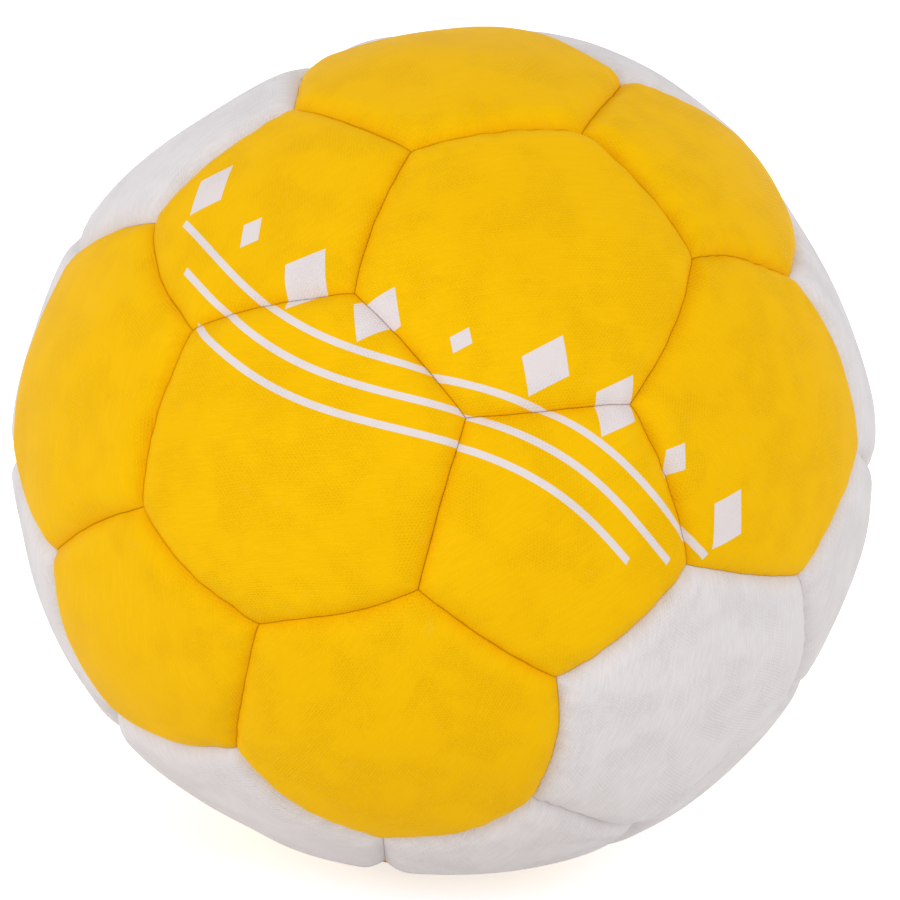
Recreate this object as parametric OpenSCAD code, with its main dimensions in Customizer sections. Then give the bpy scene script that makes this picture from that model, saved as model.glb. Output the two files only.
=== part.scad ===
// Handball sewn from 32 panels, with foam, backing cloth, bladder and needle valve.
// Millimetres. The origin is the centre of the ball and Z points up.

/* [Ball] */
// Outer diameter of the inflated ball
ball_d = 175; // [145:1:195]

/* [Cover panels] */
// Thickness of the coated skin
skin_t = 1.2; // [0.8:0.1:2]
// Depth of the groove along every seam
seam_depth = 2.2; // [1:0.1:3.5]
// Radius that the skin is rolled to at a panel's edge
edge_round = 7; // [5:0.5:12]
// Gap between the flanges of two neighbouring panels
seam_gap = 0.2; // [0.1:0.05:0.6]

/* [Lining] */
// Thickness of the foam pad behind each panel
foam_t = 3.1; // [2:0.1:6]
// Thickness of the backing cloth behind the foam
cloth_t = 0.9; // [0.5:0.1:2]
// Clearance between two layers
layer_gap = 0.05; // [0.02:0.01:0.2]

/* [Bladder] */
// Wall of the rubber bladder
bladder_t = 1.05; // [0.6:0.05:2]

/* [Seam thread] */
// Stitches along one seam
stitches = 7; // [3:1:9]
// Width of the thread where it lies flat along the flanges
thread_w = 0.9; // [0.6:0.1:1.2]
// Thickness of the flattened thread
thread_t = 0.6; // [0.3:0.1:0.9]
// Diameter of the thread where it passes through the flanges
stitch_d = 0.6; // [0.3:0.1:0.8]
// Holes that the stitches pass through
stitch_hole_d = 1; // [0.6:0.1:1.4]
// Distance of the stitches from the inner rim of the flanges
stitch_inset = 1.6; // [1.2:0.1:2.2]
// Distance of the last stitch from a corner of the panel
stitch_end = 2.4; // [2:0.1:5]

/* [Valve] */
// Channel that takes the pump needle
needle_d = 2.2; // [1.8:0.1:3]
// Length of the open needle channel
needle_depth = 9; // [5:0.5:12]
// Length of the slit that closes behind the needle
slit_l = 1.8; // [1:0.1:2.2]
// Width of that slit
slit_w = 0.2; // [0.1:0.05:0.5]
// Stem of the rubber core
core_d = 5.4; // [4.5:0.1:7]
// Length of the core from its head down
core_h = 14; // [12.5:0.5:18]
// Head of the core
core_head_d = 6.6; // [6:0.1:8]
// Thickness of the core's head
core_head_h = 0.8; // [0.5:0.1:1.5]
// Clearance of the core in its housing
core_gap = 0.1; // [0.05:0.05:0.3]
// Wall of the housing round the head of the core
boss_wall = 0.8; // [0.6:0.1:2]
// Wall of the housing round the stem of the core
tube_wall = 2.2; // [1:0.1:4]
// Floor of the housing under the core
tube_floor = 1.2; // [0.8:0.1:3]
// Air outlet in that floor
outlet_d = 2.6; // [1.5:0.1:4]
// Depth of the valve's face below the surface of the ball
face_recess = 0.5; // [0.2:0.1:1.2]
// Neck of the housing through the lining
neck_d = 12; // [11:0.5:16]
// Disc of the housing inside the bladder
disc_d = 28; // [20:1:40]
// Thickness of that disc
disc_t = 1.4; // [0.8:0.1:2.5]
// Clearance round the housing
valve_gap = 0.25; // [0.1:0.05:0.5]
// Outer diameter of the ring that backs the cloth at the valve
ring_d = 23; // [18:1:34]

/* [Hidden] */
$fn = 180;

yellow = [0.95, 0.74, 0.08];
white = [0.9, 0.89, 0.87];
foam_white = [0.94, 0.92, 0.84];
cloth_grey = [0.78, 0.76, 0.7];
thread_brown = [0.3, 0.2, 0.12];
bladder_black = [0.09, 0.09, 0.1];
rubber_grey = [0.2, 0.2, 0.21];

// Radii of the layers, from the outside in
ball_r = ball_d / 2;
foam_r = ball_r - skin_t - layer_gap;
foam_floor_r = foam_r - foam_t;
cloth_r = foam_floor_r - layer_gap;
lining_r = cloth_r - cloth_t;
bladder_r = lining_r - layer_gap;
bladder_inner_r = bladder_r - bladder_t;

// One overrun for every cut
cut = skin_t;
// The rolled edge stands this far proud of the sphere, so the two faces cross instead of just touching
edge_bite = skin_t / 30;

// Shape of a panel: its corners and edges seen from the centre of the ball
edge_share = 4 / sqrt(58 + 18 * sqrt(5));
seam_angle = 2 * asin(edge_share / 2);
function corner_angle(n) = asin(edge_share / (2 * sin(180 / n)));
function edge_angle(n) = atan(tan(corner_angle(n)) * cos(180 / n));

// Centre of the rolled edge's circle, in a plane square to the seam
roll_reach = ball_r - edge_round;
groove_r = ball_r - seam_depth;
roll_angle = acos((pow(roll_reach, 2) + pow(groove_r, 2) - pow(edge_round, 2)) / (2 * roll_reach * groove_r));
roll_x = (roll_reach + edge_bite) * cos(roll_angle);
roll_z = (roll_reach + edge_bite) * sin(roll_angle);

// Distance of each layer's side from the seam plane
skin_side = seam_gap / 2;
flange_side = skin_side + skin_t;
thread_side = flange_side + layer_gap + thread_t / 2;
pad_side = flange_side + thread_t + 2 * layer_gap;

// Stitches sit on an arc round the centre of the ball
stitch_r = lining_r + stitch_inset;
stitch_span = seam_angle - 2 * asin(stitch_end / stitch_r);
stitch_step = (stitch_span - 2 * asin(thread_w / stitch_r)) / (stitches - 1);

// Valve levels along its axis
face_z = ball_r - face_recess;
head_floor_z = face_z - core_head_h;
core_foot_z = face_z - core_h;
neck_top_z = sqrt(pow(foam_r, 2) - pow(neck_d / 2, 2));
disc_r = bladder_inner_r - layer_gap;
boss_d = core_head_d + 2 * core_gap + 2 * boss_wall;
valve_opening_d = boss_d + 2 * valve_gap;
core_seat_d = core_d + 2 * core_gap;
tube_d = core_seat_d + 2 * tube_wall;
tube_foot_z = core_foot_z - core_gap - tube_floor;
neck_hole_d = neck_d + 2 * valve_gap;

// Places of the panels as tilt from the Z axis, turn about it and spin in place
pentagon_tilt = acos(sqrt((5 + 2 * sqrt(5)) / 15));
low_pentagon_tilt = acos(sqrt((5 - 2 * sqrt(5)) / 15));
hexagon_tilt = acos(sqrt(5) / 3);
belt_tilt = acos(1 / 3);
belt_turn = acos((3 * sqrt(5) - 1) / 8) / 2;
function opposite(places) = [for (p = places) [180 - p[0], p[1] + 180, 180 - p[2]]];
upper_hexagons = concat(
    [[0, 30, 0]],
    [for (k = [0:2]) [hexagon_tilt, 120 * k - 90, 180]],
    [for (k = [0:2]) for (side = [-1, 1]) [belt_tilt, 120 * k - 150 + side * belt_turn, side * belt_turn]]
);
upper_pentagons = concat(
    [for (k = [0:2]) [pentagon_tilt, 120 * k - 150, 180]],
    [for (k = [0:2]) [low_pentagon_tilt, 120 * k - 90, 180]]
);
hexagons = concat(upper_hexagons, opposite(upper_hexagons));
pentagons = concat(upper_pentagons, opposite(upper_pentagons));

// Which place each coloured panel takes
yellow_hexagons = [0, 1, 4, 5, 6, 18, 8, 10, 11, 14, 15, 16];
white_hexagons = [19, 7, 2, 3, 9, 12, 13, 17];
yellow_pentagons = [0, 1, 3, 10, 4, 6, 7, 9];
white_pentagons = [11, 8, 5];
valve_place = pentagons[2];

// A seam between two hexagons belongs to the one that lies further along this direction
seam_pick = [1, 2, 4];
function direction(tilt, turn) = [sin(tilt) * cos(turn), sin(tilt) * sin(turn), cos(tilt)];
function spun(p, a, turn) = [
    cos(p[0]) * sin(a) * cos(turn) + sin(p[0]) * cos(a),
    sin(a) * sin(turn),
    cos(p[0]) * cos(a) - sin(p[0]) * sin(a) * cos(turn)
];
function turned(v, turn) = [v[0] * cos(turn) - v[1] * sin(turn), v[0] * sin(turn) + v[1] * cos(turn), v[2]];
function seam_centre(p, k) = turned(spun(p, edge_angle(6), p[2] + 60 * k), p[1]);
function across(centre, seam) = centre - (centre * seam) * seam;
function owns_seam(p, k) = across(direction(p[0], p[1]), seam_centre(p, k)) * seam_pick > 0;

module at_panel(p)
    rotate([0, p[0], p[1]])
        rotate(p[2])
            children();

// X points to the middle of edge k and Z is square to the seam, towards the panel
module at_edge(n, k)
    rotate([0, edge_angle(n) - 90, 360 / n * k])
        children();

// What the rolled edge takes off, as an arc along the seam
module edge_cutter(round_r)
    rotate(-seam_angle)
        rotate_extrude(angle = 2 * seam_angle)
            difference() {
                polygon([
                    [roll_x, -seam_gap],
                    [ball_r + cut, -seam_gap],
                    (ball_r + cut) * [cos(roll_angle), sin(roll_angle)],
                    [roll_x, roll_z]
                ]);
                translate([roll_x, roll_z])
                    circle(round_r);
            }

// Wedge of space over one panel, its sides kept back from the seam planes
module panel_wedge(n, side)
    intersection_for(k = [0:n - 1])
        at_edge(n, k)
            translate([-ball_d, -ball_d, side])
                cube(2 * ball_d);

// Solid layer over one panel between two spheres, flat at the sides
module plain_layer(n, outer_r, inner_r, side)
    intersection() {
        difference() {
            sphere(outer_r);
            sphere(inner_r);
        }
        panel_wedge(n, side);
    }

// The same layer with its edges rolled, one after another
module rolled_layer(n, outer_r, inner_r, side, round_r, k)
    if (k < 0)
        plain_layer(n, outer_r, inner_r, side);
    else
        difference() {
            rolled_layer(n, outer_r, inner_r, side, round_r, k - 1);
            at_edge(n, k)
                edge_cutter(round_r);
        }

module stitch_holes(n)
    for (k = [0:n - 1])
        at_edge(n, k)
            for (s = [0:stitches - 1])
                rotate(stitch_step * (s - (stitches - 1) / 2))
                    translate([stitch_r, 0, -cut])
                        cylinder(d = stitch_hole_d, h = pad_side + cut);

// Skin of one panel: a crowned face whose rim turns in and down to the lining
module panel_skin(n)
    difference() {
        rolled_layer(n, ball_r, lining_r, skin_side, edge_round, n - 1);
        rolled_layer(n, ball_r - skin_t, lining_r - cut, flange_side, edge_round - skin_t, n - 1);
        stitch_holes(n);
    }

module panel_foam(n)
    rolled_layer(n, foam_r, foam_floor_r, pad_side, edge_round - skin_t - layer_gap, n - 1);

module panel_cloth(n)
    plain_layer(n, cloth_r, lining_r, pad_side);

module yellow_hexagon(i)
    color(yellow)
        at_panel(hexagons[yellow_hexagons[i]])
            panel_skin(6);

module white_hexagon(i)
    color(white)
        at_panel(hexagons[white_hexagons[i]])
            panel_skin(6);

module yellow_pentagon(i)
    color(yellow)
        at_panel(pentagons[yellow_pentagons[i]])
            panel_skin(5);

module white_pentagon(i)
    color(white)
        at_panel(pentagons[white_pentagons[i]])
            panel_skin(5);

module valve_pentagon()
    color(white)
        at_panel(valve_place)
            difference() {
                panel_skin(5);
                cylinder(d = valve_opening_d, h = ball_d);
            }

module hexagon_foam_pads()
    color(foam_white)
        for (p = hexagons)
            at_panel(p)
                panel_foam(6);

module pentagon_foam_pads()
    color(foam_white)
        for (i = [0:len(pentagons) - 1])
            if (pentagons[i] != valve_place)
                at_panel(pentagons[i])
                    panel_foam(5);

module valve_foam_pad()
    color(foam_white)
        at_panel(valve_place)
            difference() {
                panel_foam(5);
                cylinder(d = neck_hole_d, h = ball_d);
            }

module hexagon_backing_cloths()
    color(cloth_grey)
        for (p = hexagons)
            at_panel(p)
                panel_cloth(6);

module pentagon_backing_cloths()
    color(cloth_grey)
        for (i = [0:len(pentagons) - 1])
            if (pentagons[i] != valve_place)
                at_panel(pentagons[i])
                    panel_cloth(5);

module valve_backing_cloth()
    color(cloth_grey)
        at_panel(valve_place)
            difference() {
                panel_cloth(5);
                cylinder(d = ring_d + 2 * valve_gap, h = ball_d);
            }

// One seam's thread: a run along each flange, joined by stitches through both
module seam_stitches() {
    for (side = [-1, 1])
        rotate(-stitch_span / 2)
            rotate_extrude(angle = stitch_span)
                translate([stitch_r, side * thread_side])
                    square([thread_w, thread_t], center = true);
    for (s = [0:stitches - 1])
        rotate(stitch_step * (s - (stitches - 1) / 2))
            translate([stitch_r, 0, -thread_side])
                cylinder(d = stitch_d, h = 2 * thread_side);
}

module seam_thread()
    color(thread_brown) {
        for (p = pentagons)
            at_panel(p)
                for (k = [0:4])
                    at_edge(5, k)
                        seam_stitches();
        for (p = hexagons)
            for (k = [0:2:4])
                if (owns_seam(p, k))
                    at_panel(p)
                        at_edge(6, k)
                            seam_stitches();
    }

module bladder()
    color(bladder_black)
        difference() {
            sphere(bladder_r);
            sphere(bladder_inner_r);
            at_panel(valve_place)
                cylinder(d = neck_hole_d, h = ball_d);
        }

// Ring that fills the hole in the backing cloth round the neck
module valve_ring()
    color(rubber_grey)
        at_panel(valve_place)
            intersection() {
                difference() {
                    sphere(cloth_r);
                    sphere(lining_r);
                    cylinder(d = neck_hole_d, h = ball_d);
                }
                cylinder(d = ring_d, h = ball_d);
            }

module valve_housing()
    color(rubber_grey)
        at_panel(valve_place)
            difference() {
                union() {
                    translate([0, 0, disc_r - disc_t])
                        cylinder(d = neck_d, h = neck_top_z - disc_r + disc_t);
                    translate([0, 0, tube_foot_z])
                        cylinder(d = tube_d, h = disc_r - tube_foot_z);
                    translate([0, 0, neck_top_z - skin_t])
                        cylinder(d = boss_d, h = face_z - neck_top_z + skin_t);
                    intersection() {
                        difference() {
                            sphere(disc_r);
                            sphere(disc_r - disc_t);
                        }
                        cylinder(d = disc_d, h = ball_d);
                    }
                }
                translate([0, 0, core_foot_z - core_gap])
                    cylinder(d = core_seat_d, h = ball_d);
                translate([0, 0, head_floor_z - core_gap])
                    cylinder(d = core_head_d + 2 * core_gap, h = ball_d);
                translate([0, 0, tube_foot_z - cut])
                    cylinder(d = outlet_d, h = ball_d);
            }

module valve_core()
    color(bladder_black)
        at_panel(valve_place)
            difference() {
                union() {
                    translate([0, 0, core_foot_z])
                        cylinder(d = core_d, h = core_h);
                    translate([0, 0, head_floor_z])
                        cylinder(d = core_head_d, h = core_head_h);
                }
                translate([0, 0, face_z - needle_depth])
                    cylinder(d = needle_d, h = ball_d);
                translate([-slit_l / 2, -slit_w / 2, core_foot_z - cut])
                    cube([slit_l, slit_w, core_h - needle_depth + cut + slit_w]);
            }

yellow_hexagon(0);  // yellow_hexagon_01
yellow_hexagon(1);  // yellow_hexagon_02
yellow_hexagon(2);  // yellow_hexagon_03
yellow_hexagon(3);  // yellow_hexagon_04
yellow_hexagon(4);  // yellow_hexagon_05
yellow_hexagon(5);  // yellow_hexagon_06
yellow_hexagon(6);  // yellow_hexagon_07
yellow_hexagon(7);  // yellow_hexagon_08
yellow_hexagon(8);  // yellow_hexagon_09
yellow_hexagon(9);  // yellow_hexagon_10
yellow_hexagon(10);  // yellow_hexagon_11
yellow_hexagon(11);  // yellow_hexagon_12
white_hexagon(0);  // white_hexagon_01
white_hexagon(1);  // white_hexagon_02
white_hexagon(2);  // white_hexagon_03
white_hexagon(3);  // white_hexagon_04
white_hexagon(4);  // white_hexagon_05
white_hexagon(5);  // white_hexagon_06
white_hexagon(6);  // white_hexagon_07
white_hexagon(7);  // white_hexagon_08
yellow_pentagon(0);  // yellow_pentagon_01
yellow_pentagon(1);  // yellow_pentagon_02
yellow_pentagon(2);  // yellow_pentagon_03
yellow_pentagon(3);  // yellow_pentagon_04
yellow_pentagon(4);  // yellow_pentagon_05
yellow_pentagon(5);  // yellow_pentagon_06
yellow_pentagon(6);  // yellow_pentagon_07
yellow_pentagon(7);  // yellow_pentagon_08
white_pentagon(0);  // white_pentagon_01
white_pentagon(1);  // white_pentagon_02
white_pentagon(2);  // white_pentagon_03
valve_pentagon();
hexagon_foam_pads();
pentagon_foam_pads();
valve_foam_pad();
hexagon_backing_cloths();
pentagon_backing_cloths();
valve_backing_cloth();
seam_thread();
bladder();
valve_ring();
valve_housing();
valve_core();
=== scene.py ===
import math

import bpy
import numpy as np
from mathutils import Matrix, Vector


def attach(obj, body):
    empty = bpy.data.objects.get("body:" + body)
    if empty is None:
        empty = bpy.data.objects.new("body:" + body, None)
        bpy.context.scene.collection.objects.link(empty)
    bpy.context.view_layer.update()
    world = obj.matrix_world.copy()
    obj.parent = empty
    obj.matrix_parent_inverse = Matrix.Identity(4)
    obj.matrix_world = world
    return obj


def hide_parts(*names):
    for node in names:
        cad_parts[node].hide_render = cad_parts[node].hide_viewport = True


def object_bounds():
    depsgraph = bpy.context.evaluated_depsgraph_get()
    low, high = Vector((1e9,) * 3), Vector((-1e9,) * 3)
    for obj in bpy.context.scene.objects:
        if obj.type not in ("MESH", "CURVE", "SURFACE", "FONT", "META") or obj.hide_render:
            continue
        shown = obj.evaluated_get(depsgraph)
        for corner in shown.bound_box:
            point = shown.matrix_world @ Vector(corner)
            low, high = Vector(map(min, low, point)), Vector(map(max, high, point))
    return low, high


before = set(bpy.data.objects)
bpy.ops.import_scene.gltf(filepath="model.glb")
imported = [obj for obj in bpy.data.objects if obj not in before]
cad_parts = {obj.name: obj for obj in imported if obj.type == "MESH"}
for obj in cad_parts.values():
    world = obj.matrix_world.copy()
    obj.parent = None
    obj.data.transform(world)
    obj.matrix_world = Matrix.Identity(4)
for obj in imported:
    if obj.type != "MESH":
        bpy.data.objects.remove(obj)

cad_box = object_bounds()

# Sizes in metres. The ball's own radius comes from the frame.
MM = 0.001
ball_r = (cad_box[1].z - cad_box[0].z) / 2
skin_t = 1.2 * MM
seam_depth = 2.2 * MM
edge_round = 7 * MM
seam_gap = 0.05 * MM
foam_t = 3.1 * MM
cloth_t = 0.9 * MM
layer_gap = 0.05 * MM
bladder_t = 1.05 * MM
foam_clearance = 0.3 * MM
foam_r = ball_r - skin_t - layer_gap
foam_floor_r = foam_r - foam_t
cloth_r = foam_floor_r - layer_gap
lining_r = cloth_r - cloth_t
bladder_r = lining_r - layer_gap
groove_r = ball_r - seam_depth
valve_opening_r = 4.45 * MM
neck_hole_r = 6.25 * MM
ring_hole_r = 11.75 * MM

# The turned-in rim of a panel, as loops of points: the face that each one follows, the outer or the inner,
# and its share of the way down to the lining
flange_loops = ((0, 0.25), (0, 0.6), (0, 1), (1, 1), (1, 0.5))

# The thread is sewn along the flanges, near their inner rims, and crosses them at each stitch
stitches = 7
thread_sides = 6
thread_r = 0.32 * MM
flange_side = seam_gap / 2 + skin_t
thread_side = flange_side + thread_r
pad_gap = 0.7 * MM
pad_side = flange_side + pad_gap
stitch_height = 1.6 * MM
stitch_r = lining_r + stitch_height
stitch_end = 2.4 * MM
stitch_slack = thread_r / 3
crossing_share = 0.6

# Relief of the cover
crown = 0.45 * MM
crown_reach = 15 * MM
lump = 0.15 * MM
lump_size = 24 * MM
pull = 0.1 * MM
pull_size = 5 * MM
pull_reach = 3.2 * MM
waver = 0.03 * MM
waver_size = 5 * MM
soften = 2.5 * MM
print_slip = 0.4 * MM
valve_dip = 0.4 * MM
valve_dip_reach = 1.6 * MM
lump_seed = 31
pull_seed = 32
waver_seeds = (21, 22, 23)
wave_count = 14
wave_range = (0.7, 1.3)

# Meshes: cells along half a panel's side, how much closer they lie at its rim, and the bladder's rows
cover_cells = 46
lining_cells = 12
crowding = 0.62
sharp_angle = 38
bladder_rows = 72
bladder_columns = 120
bladder_end = 0.004

# Added to a direction that may have no length
nudge = 1e-12

# The panels as seen from the centre of the ball: their edges, and how far each kind tilts from the top
edge_share = 4 / math.sqrt(58 + 18 * math.sqrt(5))
seam_angle = 2 * math.asin(edge_share / 2)
pentagon_tilt = math.degrees(math.acos(math.sqrt((5 + 2 * math.sqrt(5)) / 15)))
low_pentagon_tilt = math.degrees(math.acos(math.sqrt((5 - 2 * math.sqrt(5)) / 15)))
hexagon_tilt = math.degrees(math.acos(math.sqrt(5) / 3))
belt_tilt = math.degrees(math.acos(1 / 3))
belt_turn = math.degrees(math.acos((3 * math.sqrt(5) - 1) / 8)) / 2

# Which place each coloured panel takes
yellow_hexagons = [0, 1, 4, 5, 6, 18, 8, 10, 11, 14, 15, 16]
white_hexagons = [19, 7, 2, 3, 9, 12, 13, 17]
yellow_pentagons = [0, 1, 3, 10, 4, 6, 7, 9]
white_pentagons = [11, 8, 5]
valve_pentagon = 2

# How the cloth is cut, in degrees. Each panel's weave leans a little, and a yellow one's turns in steps too.
cloth_lean = 12
yellow_lay = 45
lay_steps = 2

# Each panel draws a number up to this one, and its noises are moved by that number of spacings
cloth_numbers = 9
cloth_spacing = 40.0

# Weave of the cover's cloth in millimetres. The stir bends its threads.
warp_step = 0.58
weft_step = 0.8
stir_width = 1.6

# Noises of the cloth: scale per millimetre, detail and, where it isn't the usual one, roughness
stir_noise = (0.06, 1.0)
patch_noise = (0.1, 2.0)
grain_noise = (2.6, 4.0, 0.65)
cloud_noise = (0.05, 2.0)
fleck_noise = (0.55, 2.0, 0.4)
wear_noise = (0.16, 5.0, 0.7)

# Streaks along the threads and ribs at the stitches: how their noise is stretched, and its detail
streaks_across = 2.9
streaks_along = 0.2
ribs_around = 42.0
ribs_inward = 0.14
thread_noise = (1.0, 2.0, 0.5)

# Each mark fades between two values of its noise, or between two distances from the seam in millimetres.
# The other two numbers are how strong it is at the first and at the second.
patch_fade = (0.4, 0.62, 0.15, 1.0)
gather_fade = (0.6, 3.8, 1.0, 0.0)
cloud_fade = (0.3, 0.7, 0.0, 0.3)
# The canvas mark is painted shade: the colour darkens in the pits of the weave.
canvas_pit_shade = (-1.5, 0.5, 0.38, 0.0)
# The shoulder mark is painted shade: the rolled edges darken towards the seam, as in the groove's valley.
shoulder_shade_fade = (0.2, 2.0, 0.4, 0.0)
ink_fade = (0.2, 0.34, 0.88, 1.0)
fleck_fade = (0.77, 0.81, 0.0, 0.12)
wear_fade = (0.6, 0.82, 0.0, 0.05)
rough_fade = (0.25, 0.75, 0.5, 0.64)
streak_range = (0.38, 0.62)
# The rib mark is painted shade in the valleys between the gathers at the stitches.
rib_shade_range = (0.4, 0.6)
# The seam mark is a dark line painted along the seam, as the shade deep in the groove.
seam_shade_range = (0.03, 0.25)
fleck_rgb = (120, 96, 60)
wear_rgb = (196, 180, 160)

# Height of the cloth's fine relief
canvas_bump = 0.03 * MM
grain_bump = 0.04 * MM
streak_bump = 0.06 * MM
rib_bump = 0.12 * MM

# The plain materials: a fine noise of each one's own size, a broad one, and how both mottle it
fine_detail = (4.0, 0.6)
fine_fade = (0.35, 0.75, 0.0, 0.35)
fine_range = (0.3, 0.7)
broad_noise = (0.08, 3.0)
broad_range = (0.3, 0.7)
rough_spread = 0.07

# The print, in millimetres. Its middle lies a little above the camera's line and left of it.
print_lean = 30
print_rise = 0.12
print_left = 0.05
print_waves = 5.0
print_swing = 5.0
print_blur = 0.08
outer_row = 1.0
line_step = 6.5
line_width = 1.5
line_half = 60.0
line_stagger = 8.0
lozenge_step = 17.0
lozenge_level = 15.0
lozenge_least = 2.2
lozenge_growth = 3.4
lozenge_shape = 0.72
lozenge_half = 74.0

# The camera, from the seams in the photograph
image_size = 900
camera_sensor = 36
camera_clip = (0.1, 50)
camera_azimuth = -16.03
camera_elevation = 21.73
camera_roll = 1.2
camera_distance = 1.75
ball_centre_px = (444.0, 456.0)
groove_radius_px = 421.0

# Corners of the seams in the photograph. A third number turns one further out of sight, in degrees.
seam_corners_px = {
    "top_left": (411, 151), "top_right": (582, 133), "right_upper": (693, 258),
    "right_middle": (631, 404), "middle": (466, 418), "left_middle": (354, 293),
    "left_upper": (192, 330), "left_lower": (143, 507), "low_left": (258, 625),
    "low_middle": (418, 590), "low_right": (557, 678), "right_lower": (688, 565),
    "far_right_lower": (799, 575), "far_right_upper": (789, 278), "crown_right": (622, 83),
    "crown_left": (293, 111), "far_left_upper": (155, 222), "far_left_lower": (56, 552),
    "foot_left": (237, 749), "far_foot_left": (115, 706), "foot_middle": (383, 836),
    "foot_right": (533, 798), "foot_far_right": (638, 817), "low_far_right": (786, 694),
    "crown_far_left": (320, 57, 1), "far_crown_right": (768, 174), "far_left_crown": (75, 256, 1),
    "rim_left": (14, 448), "rim_right": (853, 446), "foot_bottom": (386, 885, 8), "crown_top": (494, 15, 2),
    "foot_bottom_left": (270, 840, 15), "foot_bottom_right": (560, 870, 9),
}

# Middles of the seams in the photograph
seam_middles_px = {
    "crown": (495, 133), "upper_right": (646, 191), "right_of_centre": (669, 338),
    "centre_right": (548, 411), "centre_left": (412, 352), "upper_left": (375, 222),
    "left_top": (272, 305), "far_left": (157, 418), "left_bottom": (195, 577),
    "bottom_left": (340, 614), "below_centre": (441, 502), "bottom": (483, 637),
    "right": (667, 482), "bottom_right": (629, 630), "far_right_bottom": (745, 574),
    "far_right_top": (742, 259), "crown_left_side": (298, 76), "crown_top_right": (562, 40),
    "far_top_right": (692, 103), "far_right_upper_side": (799, 236), "far_left_top": (110, 231),
    "far_left_rim": (31, 346), "far_left_low": (25, 505), "low_left_side": (65, 636),
    "low_right_rim": (722, 757), "far_right_white": (806, 636), "foot_right_rim": (622, 837),
    "far_right_side": (832, 338), "upper_left_rim": (218, 159), "crown_back": (410, 15, 1),
    "foot_left_side": (304, 806), "foot_right_side": (462, 829), "foot_near_side": (557, 738),
    "low_left_bottom": (184, 744), "far_left_upper_side": (162, 281), "left_side_low": (98, 522),
    "foot_right_low": (584, 816),
}

# Near the rim the nearer panel hides the seam. Between these angles from the camera's line, in degrees, its
# shoulder takes the groove's place, and the seam itself lies further round by the turn.
corner_rim = (74, 82)
middle_rim = (60, 72)
rim_turn = 2.2
rim_easing = 3
seen_steps = 16

# How far the outline stands off a true sphere in millimetres, by the angle in the picture from the right
outline_off = {
    0: 0.4, 10: -0.1, 20: -2.2, 33: -2.1, 48: 0.9, 64: 0.7, 76: 1.5, 88: -1.5, 102: -2.4, 110: -3.2,
    118: -5.6, 134: -3.2, 146: -0.4, 158: -1.2, 178: 0.6, 192: -1.5, 210: -0.9, 220: -1.3, 240: -2.9,
    260: -3, 278: -3.3, 294: -1.8, 310: -1.9, 326: -2.3, 340: -1.5, 350: -1.6,
}

# How far each departure from the ideal ball, or each place kept clear of it, reaches over the unit sphere
outline_reach = 0.2
outline_band = 0.35
valve_reach = 0.2
cover_valve_reach = 0.12
foot_reach = 0.1
seam_reach = 0.21
hole_reach = 0.09

# The seams out of sight are a little uneven too, except within an angle of the valve, in degrees
hidden_slip = 0.8 * MM
hidden_bow = 0.35 * MM
hidden_seed = 7
valve_guard = 25

# Directions closer than this, in radians, are the same one
same_place = 0.01

# Floor and light. A lamp stands off the camera's line to the right and above by shares of its distance.
floor_half = 6.0
floor_albedo = 0.85
floor_roughness = 0.9
floor_glow = 0.65
world_strength = 0.74
lamps = {
    "left": {"sideways": -1.3, "upward": 0.15, "distance": 1.7, "size": 1.0, "power": 5.7},
    "right": {"sideways": 1.3, "upward": 0.15, "distance": 1.7, "size": 1.0, "power": 3.8},
    "front": {"sideways": 0, "upward": -0.2, "distance": 1.7, "size": 0.6, "power": 0.6},
    "top": {"sideways": 0, "upward": 0.5, "distance": 1.8, "size": 1.2, "power": 2.0},
}


def turn_z(angle):
    c, s = math.cos(math.radians(angle)), math.sin(math.radians(angle))
    return np.array([[c, -s, 0], [s, c, 0], [0, 0, 1]])


def turn_y(angle):
    c, s = math.cos(math.radians(angle)), math.sin(math.radians(angle))
    return np.array([[c, 0, s], [0, 1, 0], [-s, 0, c]])


def opposite(places):
    return [(180 - tilt, turn + 180, 180 - spin) for tilt, turn, spin in places]


def panel_places():
    """Tilt, turn and spin of every hexagon and every pentagon, as the CAD model places them."""
    hexagons = [(0, 30, 0)]
    hexagons += [(hexagon_tilt, 120 * k - 90, 180) for k in range(3)]
    hexagons += [
        (belt_tilt, 120 * k - 150 + side * belt_turn, side * belt_turn)
        for k in range(3) for side in (-1, 1)
    ]
    pentagons = [(pentagon_tilt, 120 * k - 150, 180) for k in range(3)]
    pentagons += [(low_pentagon_tilt, 120 * k - 90, 180) for k in range(3)]
    return hexagons + opposite(hexagons), pentagons + opposite(pentagons)


def placed(place):
    tilt, turn, spin = place
    return turn_z(turn) @ turn_y(tilt) @ turn_z(spin)


def unit(vectors):
    return vectors / np.linalg.norm(vectors, axis=-1, keepdims=True)


def polar(angle, azimuth):
    """Unit vectors at an angle from +Z and an azimuth from +X, both in radians."""
    x, y = np.sin(angle) * np.cos(azimuth), np.sin(angle) * np.sin(azimuth)
    return np.stack([x, y, np.cos(angle) + 0 * azimuth], axis=-1)


def corner_angle(n):
    return math.asin(edge_share / (2 * math.sin(math.pi / n)))


def edge_angle(n):
    return math.atan(math.tan(corner_angle(n)) * math.cos(math.pi / n))


def edge_azimuths(n):
    return 2 * math.pi * np.arange(n) / n


def inset_points(n, side):
    """Edge middles and corners of a panel whose sides are kept back from the seam planes."""
    lift = side / ball_r
    edge = edge_angle(n)
    across, along = math.sin(edge), math.cos(edge) * math.cos(math.pi / n)
    corner = math.acos(lift / math.hypot(across, along)) - math.atan2(along, across)
    azimuths = edge_azimuths(n)
    return polar(edge - math.asin(lift), azimuths), polar(corner, azimuths + math.pi / n)


def seam_normals(n):
    """Unit normals of the seam planes of a panel whose centre is +Z. They point into the panel."""
    return -polar(math.pi / 2 - edge_angle(n), edge_azimuths(n)) * [1, 1, -1]


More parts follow.
